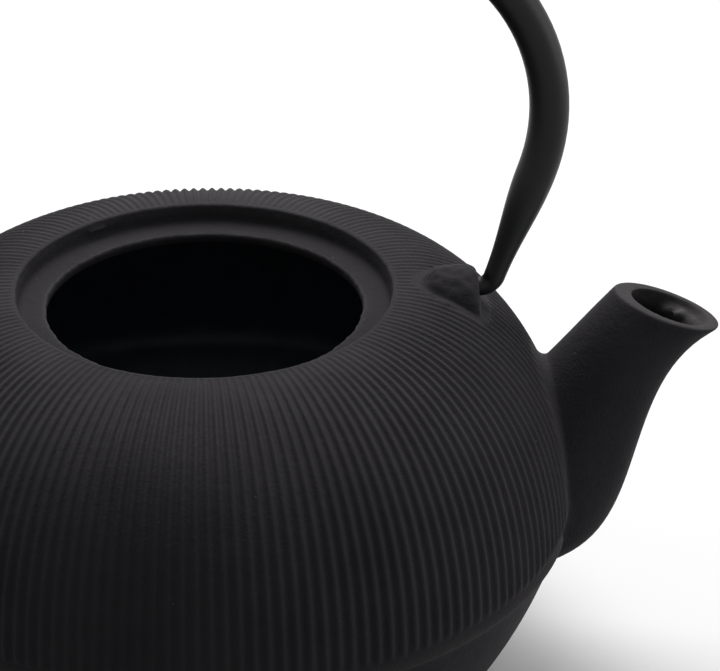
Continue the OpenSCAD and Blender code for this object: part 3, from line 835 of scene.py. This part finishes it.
lid = bmesh.new()
lid_rib = lid.verts.layers.float.new("rib")
crown_rs = np.concatenate(((lid_r - 0.9, lid_r - 1.6, lid_r - 2.4), np.linspace(lid_r - 4.5, seat_r + 2.6, 15),
                           (seat_r + 1.6, seat_r + 0.9)))
crown_loops = turned(lid, [(r, lid_top(r)) for r in crown_rs], LID_COLUMNS, lid_at)
plain_rows = [(seat_r + 0.3, lid_top(seat_r) + 0.12), (seat_r - 0.05, seat_z - 0.12), (seat_r - 0.4, seat_z),
              (screw_hole_r + 0.2, seat_z), (screw_hole_r, seat_z - 0.2), (screw_hole_r, lid_under_z + 0.2),
              (screw_hole_r + 0.2, lid_under_z), (seat_r, lid_under_z)]
plain_rows += [(r, lid_floor(r)) for r in np.linspace(seat_r + 3, ring_in_r - 1, 7)]
plain_rows += [(ring_in_r - 0.2, lid_floor(ring_in_r) - 0.25), (ring_in_r, lid_floor(ring_in_r) - 1),
               (ring_in_r, 0.6), (ring_in_r + 0.6, 0), (ring_out_r - 0.6, 0), (ring_out_r, 0.6),
               (ring_out_r, ring_h - 0.7), (ring_out_r + 0.7, ring_h), (lid_r - 0.7, ring_h),
               (lid_r, ring_h + 0.7), (lid_r, lid_edge_z - 0.7), (lid_r - 0.2, lid_edge_z - 0.12)]
plain_loops = turned(lid, plain_rows, PLAIN_COLUMNS, lid_at)
top_faces = strips(lid, crown_loops)
join(lid, crown_loops[-1], plain_loops[0])
under_faces = strips(lid, plain_loops)
join(lid, plain_loops[-1], crown_loops[0])

# The steam hole, drilled through the crown
vent_at = (lid_at[0] + vent_x, lid_at[1])
VENT_SIDES = 32


def vent_share(p):
    return math.atan2(p[1] - vent_at[1], p[0] - vent_at[0]) / (2 * math.pi) % 1


vent_loops = []
for faces, surface, sink in ((top_faces, lid_top, -0.3), (under_faces, lid_floor, 0.3)):
    level = surface(vent_x)
    edge, edge_turn = open_hole(lid, faces, vent_share, lambda p: abs(p[2] - level) < 1.5
                                and math.dist(p[:2], vent_at) < vent_r + 1.0)
    turn = turns(VENT_SIDES)
    for r, drop in ((vent_r + 0.3, 0.0), (vent_r, sink)):
        x, y = vent_at[0] + r * np.cos(turn), vent_at[1] + r * np.sin(turn)
        z = surface(np.hypot(x - lid_at[0], y - lid_at[1])) + drop
        vent_loops.append(loop(lid, np.column_stack((x, y, z))))
    join(lid, edge, vent_loops[-2], edge_turn)
    join(lid, vent_loops[-2], vent_loops[-1])
join(lid, vent_loops[1], vent_loops[3])
for ring in crown_loops:
    for vert in (vert for vert in ring if vert.is_valid):
        p = vert.co / MM
        r = math.dist(p[:2], lid_at)
        vert[lid_rib] = (smooth(r, seat_r + 1.2, seat_r + 5) * smooth(r, lid_r - 1.2, lid_r - 2.2)
                         * smooth(math.dist(p[:2], vent_at), vent_r + 1.2, vent_r + 2.4))
lid_piece = piece("lid_cover_cast", lid)
add_tree(lid_piece, ribs, {"Rib count": LID_RIBS, "Depth": 0.28 * MM, "Ridge wear": 0.07, "Groove dust": 0.04,
                           "Axis place": (lid_at[0] * MM, lid_at[1] * MM, 0), "Iron": iron})
sharpen(lid_piece, 50)
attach(lid_piece, "lid")
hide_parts("lid_cover")


# Lid knob: a small turned mushroom of iron, tapped from below and drawn down on the lid's seat by a
# slotted cheese-head screw, which is the CAD node with a turned-steel finish.
knob_low, knob_high = (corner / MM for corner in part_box("lid_knob"))
knob_h = knob_high.z - knob_low.z
knob_r = (knob_high.x - knob_low.x) / 2
knob_foot_r, knob_neck_r, knob_waist_z, knob_wide_z = 6.0, 4.5, 4.2, 9.9
knob_bore_r, knob_bore_depth = 2.03, 9.5
KNOB_COLUMNS = 96
quarter = np.linspace(0, math.pi / 2, 14)
knob_rows = [(knob_r * math.cos(a), knob_wide_z + (knob_h - knob_wide_z) * math.sin(a)) for a in quarter[-2:0:-1]]
knob_rows += [(knob_r - (knob_r - knob_neck_r) * math.cos(a),
               knob_waist_z + (knob_wide_z - knob_waist_z) * math.sin(a)) for a in quarter[::-1]]
knob_rows += [(knob_foot_r - (knob_foot_r - knob_neck_r) * math.sin(a), knob_waist_z * (1 - math.cos(a)))
              for a in quarter[-2:1:-1]]
knob_rows += [(knob_foot_r - 0.05, 0.12), (knob_foot_r - 0.2, 0), (knob_bore_r + 0.25, 0), (knob_bore_r, 0.25),
              (knob_bore_r, knob_bore_depth)]
knob = bmesh.new()
knob_loops = turned(knob, [(r, knob_low.z + z) for r, z in knob_rows], KNOB_COLUMNS, lid_at)
strips(knob, knob_loops)
close(knob, knob_loops[0], (*lid_at, knob_high.z))
close(knob, knob_loops[-1], (*lid_at, knob_low.z + knob_bore_depth))
knob_piece = piece("lid_knob_cast", knob, iron)
sharpen(knob_piece, 50)
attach(knob_piece, "lid")
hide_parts("lid_knob")


# Turned steel: fine rings from the lathe tool round the screw's axis
def turned_steel(centre):
    material, tree, place = new_material("turned_steel")
    about = vector_maths(tree, "SUBTRACT", place, (centre[0] * MM, centre[1] * MM, 0))
    rings = add_node(tree, "ShaderNodeTexWave", {"Vector": about, "Scale": 1 / (20 * 0.3 * MM), "Distortion": 0.4},
                     wave_type="RINGS", rings_direction="Z").outputs["Fac"]
    return finish(material, {
        "Base Color": shades(tree, rings, ((0, "#a9a8a5"), (1, "#b8b7b4"))), "Metallic": 1.0,
        "Roughness": spread(tree, rings, 0.26, 0.4), "Normal": bumps(tree, rings, 0.2, 0.03)})


screw_mesh = frame["nodes"]["knob_screw"].data
screw_mesh.materials.clear()
screw_mesh.materials.append(turned_steel(lid_at))


# Infuser basket: thin stainless sheet, in three pressings spot-welded together. The rim is a flat
# flange with a rolled edge and a collar that drops through the hole in the pot's ledge.
rim_low, rim_high = (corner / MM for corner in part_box("infuser_rim"))
basket_at = ((rim_low.x + rim_high.x) / 2, (rim_low.y + rim_high.y) / 2)
roll_r = 0.7
flange_r = (rim_high.x - rim_low.x) / 2 - roll_r
flange_z, flange_t = 56.0, 0.8
collar_r, collar_t, collar_low_z = 32.4, 0.6, rim_low.z
sheet_r, sheet_t = 31.75, 0.5
BASKET_COLUMNS = 176


# Brushed stainless steel: bright grey, with hairline marks that run round the basket
def brushed_steel(centre):
    material, tree, place = new_material("brushed_stainless_steel")
    about = vector_maths(tree, "SUBTRACT", place, (centre[0] * MM, centre[1] * MM, 0))
    radius = vector_maths(tree, "LENGTH", vector_maths(tree, "MULTIPLY", about, (1, 1, 0)))
    height = add_node(tree, "ShaderNodeSeparateXYZ", {0: about}).outputs["Z"]
    lines = add_node(tree, "ShaderNodeCombineXYZ", {"X": radius, "Y": height}).outputs[0]
    hair = uneven(tree, lines, 0.25, 2)
    clouds = uneven(tree, place, 14, 3)
    return finish(material, {
        "Base Color": shades(tree, clouds, ((0.3, "#c4c3c0"), (0.7, "#cfcecb"))), "Metallic": 1.0,
        "Roughness": spread(tree, hair, 0.22, 0.4), "Normal": bumps(tree, hair, 0.25, 0.02)})


stainless = brushed_steel(basket_at)
rim = bmesh.new()
roll_turn = np.radians(np.linspace(-135, 150, 20)) + math.pi / 2
rim_rows = [(flange_r + roll_r * math.sin(a), flange_z + roll_r - roll_r * math.cos(a)) for a in roll_turn]
flange_end_r, flange_top_z = flange_r - roll_r - 0.5, flange_z + flange_t
collar_in_r, sheet_in_r = collar_r - collar_t, sheet_r - sheet_t
rim_rows += [(flange_end_r, flange_top_z), (collar_r + 0.4, flange_top_z), (sheet_in_r + 0.3, flange_top_z),
             (sheet_in_r, flange_top_z - 0.3), (sheet_in_r, flange_z), (collar_in_r, flange_z),
             (collar_in_r, collar_low_z + 0.1), (collar_in_r + 0.1, collar_low_z), (collar_r - 0.1, collar_low_z),
             (collar_r, collar_low_z + 0.1), (collar_r, flange_z - 0.4), (collar_r + 0.4, flange_z),
             (flange_end_r, flange_z)]
rim_loops = turned(rim, rim_rows, BASKET_COLUMNS, basket_at)
strips(rim, rim_loops + rim_loops[:1])
rim_piece = piece("infuser_rim_pressed", rim, stainless)
sharpen(rim_piece, 50)
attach(rim_piece, "infuser")
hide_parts("infuser_rim")


# Perforated sheet: a tree that lays pierced square tiles on a grid, as a flat stainless sheet. The basket's
# wall is such a sheet with plain edges, rolled to a tube, and its base a disc with a turned-up skirt.
HOLE_SIDES = 8
WALL_COLUMNS, WALL_ROWS, EDGE_ROWS = 88, 24, 2
BASE_ROWS, base_disc_r, whole_sheet_r = 27, 28.2, 1000
pitch = 2 * math.pi * sheet_r / WALL_COLUMNS
hole_r, weld = 0.62, 0.02


def tile(pierced):
    """One square of the sheet, flat, with a hole or without, as an object for the tree to repeat."""
    bm = bmesh.new()
    half = pitch / 2
    square = [(half, 0), (half, half), (0, half), (-half, half), (-half, 0), (-half, -half), (0, -half), (half, -half)]
    edge = loop(bm, [np.array((x, y, 0.0)) for x, y in square])
    if pierced:
        turn = turns(HOLE_SIDES)
        join(bm, edge, loop(bm, np.column_stack((hole_r * np.cos(turn), hole_r * np.sin(turn), 0 * turn))))
    else:
        bm.faces.new(edge)
    return piece("sheet_tile", bm, closed=False)


def sheet_tree():
    tree, given = new_tree("perforated_sheet", {
        "Columns": "Int", "Rows": "Int", "Plain rows": "Int", "Pitch": "Float", "Disc radius": "Float",
        "Pierced tile": "Object", "Plain tile": "Object", "Steel": "Material"})
    width, height = (maths(tree, "MULTIPLY", maths(tree, "SUBTRACT", given[count], 1.0), given["Pitch"])
                     for count in ("Columns", "Rows"))
    grid = add_node(tree, "GeometryNodeMeshGrid", {
        "Size X": width, "Size Y": height, "Vertices X": given["Columns"], "Vertices Y": given["Rows"]})
    position = add_node(tree, "GeometryNodeInputPosition").outputs[0]
    y = add_node(tree, "ShaderNodeSeparateXYZ", {0: position}).outputs["Y"]
    plain_h = maths(tree, "MULTIPLY", given["Plain rows"], given["Pitch"])
    limit = maths(tree, "SUBTRACT", maths(tree, "MULTIPLY", height, 0.5), plain_h)
    solid, spare = (add_node(tree, "FunctionNodeCompare", {0: value, 1: most}, operation="GREATER_THAN").outputs[0]
                    for value, most in ((maths(tree, "ABSOLUTE", y), limit),
                                        (vector_maths(tree, "LENGTH", position), given["Disc radius"])))
    points = add_node(tree, "GeometryNodeDeleteGeometry", {"Geometry": grid.outputs["Mesh"], "Selection": spare})
    pierced = add_node(tree, "FunctionNodeBooleanMath", {0: solid}, operation="NOT").outputs[0]
    both = add_node(tree, "GeometryNodeJoinGeometry")
    for name, chosen in (("Pierced tile", pierced), ("Plain tile", solid)):
        shape = add_node(tree, "GeometryNodeObjectInfo", {"Object": given[name]}).outputs["Geometry"]
        tiles = add_node(tree, "GeometryNodeInstanceOnPoints", {
            "Points": points.outputs[0], "Selection": chosen, "Instance": shape})
        tree.links.new(tiles.outputs[0], both.inputs[0])
    return send_out(tree, both.outputs[0], ("RealizeInstances", {}), ("MergeByDistance", {"Distance": weld * MM}),
                    ("SetMaterial", {"Material": given["Steel"]}))


def pierced_sheet(name, columns, rows, plain_rows, disc_r):
    """A flat perforated sheet in the floor's plane, round the origin, as an editable mesh."""
    sheet = piece(name, bmesh.new(), closed=False)
    add_tree(sheet, sheets, {"Columns": columns, "Rows": rows, "Plain rows": plain_rows, "Pitch": pitch * MM,
                             "Disc radius": disc_r * MM, "Pierced tile": tile_pierced, "Plain tile": tile_plain,
                             "Steel": stainless})
    bm = bmesh.new()
    bm.from_mesh(sheet.data)
    return sheet, bm


def thicken(obj, bm, thickness):
    """Put an edited sheet back in its object and give it its thickness, inwards."""
    bm.to_mesh(obj.data)
    bm.free()
    gauge = obj.modifiers.new("gauge", "SOLIDIFY")
    gauge.thickness = thickness * MM
    gauge.offset = -1
    gauge.use_even_offset = True
    keep_shape(obj)
    obj.data.shade_smooth()
    sharpen(obj, 35)


sheets = sheet_tree()
tile_pierced, tile_plain = tile(True), tile(False)

# The wall: the sheet rolled to a tube, with its seam closed
wall_low, wall_high = (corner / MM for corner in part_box("infuser_wall"))
wall_h = wall_high.z - wall_low.z
wall_piece, sheet = pierced_sheet("infuser_wall_pierced", WALL_COLUMNS, WALL_ROWS, EDGE_ROWS, whole_sheet_r)
stretch = wall_h / (WALL_ROWS * pitch)
for vert in sheet.verts:
    x, y = vert.co.x / MM, vert.co.y / MM
    turn = x / sheet_r
    vert.co = Vector((basket_at[0] + sheet_r * math.cos(turn), basket_at[1] + sheet_r * math.sin(turn),
                      wall_low.z + wall_h / 2 + y * stretch)) * MM
bmesh.ops.remove_doubles(sheet, verts=sheet.verts, dist=weld * MM)
bmesh.ops.recalc_face_normals(sheet, faces=sheet.faces)
thicken(wall_piece, sheet, sheet_t)
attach(wall_piece, "infuser")
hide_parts("infuser_wall")

# The base: a pierced disc, zipped to plain rings that turn up into the skirt
base_piece, sheet = pierced_sheet("infuser_base_pierced", BASE_ROWS, BASE_ROWS, 0, base_disc_r)
for vert in sheet.verts:
    vert.co += Vector((*basket_at, 0)) * MM
skirt_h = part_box("infuser_base")[1].z / MM


def round_basket(vert):
    """How far round the basket's axis a point lies, from 0 to 1."""
    return math.atan2(vert.co.y - basket_at[1] * MM, vert.co.x - basket_at[0] * MM) / (2 * math.pi) + 0.5


edge = max((edge for edge in sheet.edges if edge.is_boundary),
           key=lambda edge: math.dist(edge.verts[0].co[:2], np.array(basket_at) * MM))
outline = [edge.verts[0]]
while edge.other_vert(outline[-1]) != outline[0]:
    outline.append(edge.other_vert(outline[-1]))
    edge = next(other for other in outline[-1].link_edges if other.is_boundary and other != edge)
outline.sort(key=round_basket)
skirt_rows = [(30.4, 0), (collar_r - 0.7, 0), (collar_r - 0.25, 0.1), (collar_r - 0.05, 0.35), (collar_r, 0.8),
              (collar_r, skirt_h)]
skirt_loops = turned(sheet, skirt_rows, BASKET_COLUMNS, basket_at)
join(sheet, outline, skirt_loops[0], [round_basket(vert) for vert in outline])
strips(sheet, skirt_loops)
bmesh.ops.recalc_face_normals(sheet, faces=sheet.faces)
if sheet.faces[0].normal.z > 0:
    bmesh.ops.reverse_faces(sheet, faces=sheet.faces)
thicken(base_piece, sheet, collar_t)
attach(base_piece, "infuser")
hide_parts("infuser_base")
for spare in (tile_pierced, tile_plain):
    bpy.data.objects.remove(spare)


# Studio: a white sweep under a large soft box overhead and a little behind, as the photograph has.
# The floor takes the pot's shadow, is lifted a little for the camera and for reflections, and runs out
# to plain white away from the pot.
def background_rays(tree):
    """1 for the rays that are to find a white background: the camera's, and those from metal and glass."""
    path = add_node(tree, "ShaderNodeLightPath").outputs
    seen = path["Is Camera Ray"]
    for kind in ("Is Glossy Ray", "Is Transmission Ray"):
        seen = maths(tree, "MAXIMUM", seen, path[kind])
    return seen


def white_sweep():
    material, tree, place = new_material("white_paper_sweep")
    seen = background_rays(tree)
    bounced = add_node(tree, "ShaderNodeLightPath").outputs["Is Diffuse Ray"]
    shade = add_node(tree, "ShaderNodeMix", {"Factor": bounced, "A": colour("#f2f2f2"), "B": colour("#8c8c8c")},
                     data_type="RGBA")
    paper = add_node(tree, "ShaderNodeBsdfDiffuse", {"Color": shade.outputs["Result"]})
    glow = add_node(tree, "ShaderNodeEmission", {"Strength": maths(tree, "MULTIPLY", seen, 0.14)})
    near = add_node(tree, "ShaderNodeAddShader", {0: paper.outputs[0], 1: glow.outputs[0]})
    away = spread(tree, vector_maths(tree, "LENGTH", place), 0, 1, 0.25, 0.75, interpolation_type="SMOOTHSTEP")
    white = add_node(tree, "ShaderNodeEmission", {"Color": colour("#ffffff")})
    fade = maths(tree, "MULTIPLY", seen, away)
    return finish(material, {0: fade, 1: near.outputs[0], 2: white.outputs[0]}, "ShaderNodeMixShader")


floor_half = 2.5
floor = bmesh.new()
floor.faces.new([floor.verts.new((x * floor_half, y * floor_half, 0))
                 for x, y in ((-1, -1), (1, -1), (1, 1), (-1, 1))])
floor_piece = piece("floor", floor, white_sweep(), closed=False)

world = bpy.data.worlds.new("studio")
bpy.context.scene.world = world
world.use_nodes = True
sky = world.node_tree
sky.nodes.clear()
level = spread(sky, background_rays(sky), 0.16, 1)
light = add_node(sky, "ShaderNodeBackground", {"Color": colour("#ffffff"), "Strength": level})
add_node(sky, "ShaderNodeOutputWorld", {"Surface": light.outputs[0]})
pot_middle = Vector((0, 0, 0.06))


def soft_box(name, place, size, power):
    """A square lamp that faces the pot."""
    lamp = bpy.data.lights.new(name, "AREA")
    lamp.shape = "SQUARE"
    lamp.size = size
    lamp.energy = power
    obj = bpy.data.objects.new(name, lamp)
    obj.location = place
    obj.rotation_euler = (pot_middle - Vector(place)).to_track_quat("-Z", "Y").to_euler()
    bpy.context.collection.objects.link(obj)


soft_box("overhead_box", (0.05, 0.5, 1.0), 0.9, 12.4)
soft_box("side_card", (0.9, -0.1, 0.15), 0.6, 2.2)

# Camera: where the photograph was taken from, with a long lens framed close on the mouth
camera = bpy.data.objects.new("camera", bpy.data.cameras.new("camera"))
camera.data.sensor_fit = "HORIZONTAL"
camera.data.sensor_width = 36
camera.data.lens = 205
view_tilt, view_turn = math.radians(27.869), math.radians(4.447)
stand_off, stand_angle, stand_turn = 869.57, math.radians(27.175), math.radians(2)
ahead = stand_off * math.cos(stand_angle)
camera.location = Vector((-ahead * math.sin(stand_turn), -ahead * math.cos(stand_turn),
                          body_h + stand_off * math.sin(stand_angle))) * MM
camera.rotation_euler = (math.pi / 2 - view_tilt, 0, -view_turn)
bpy.context.collection.objects.link(camera)
bpy.context.scene.camera = camera
bpy.context.scene.view_settings.view_transform = "Standard"
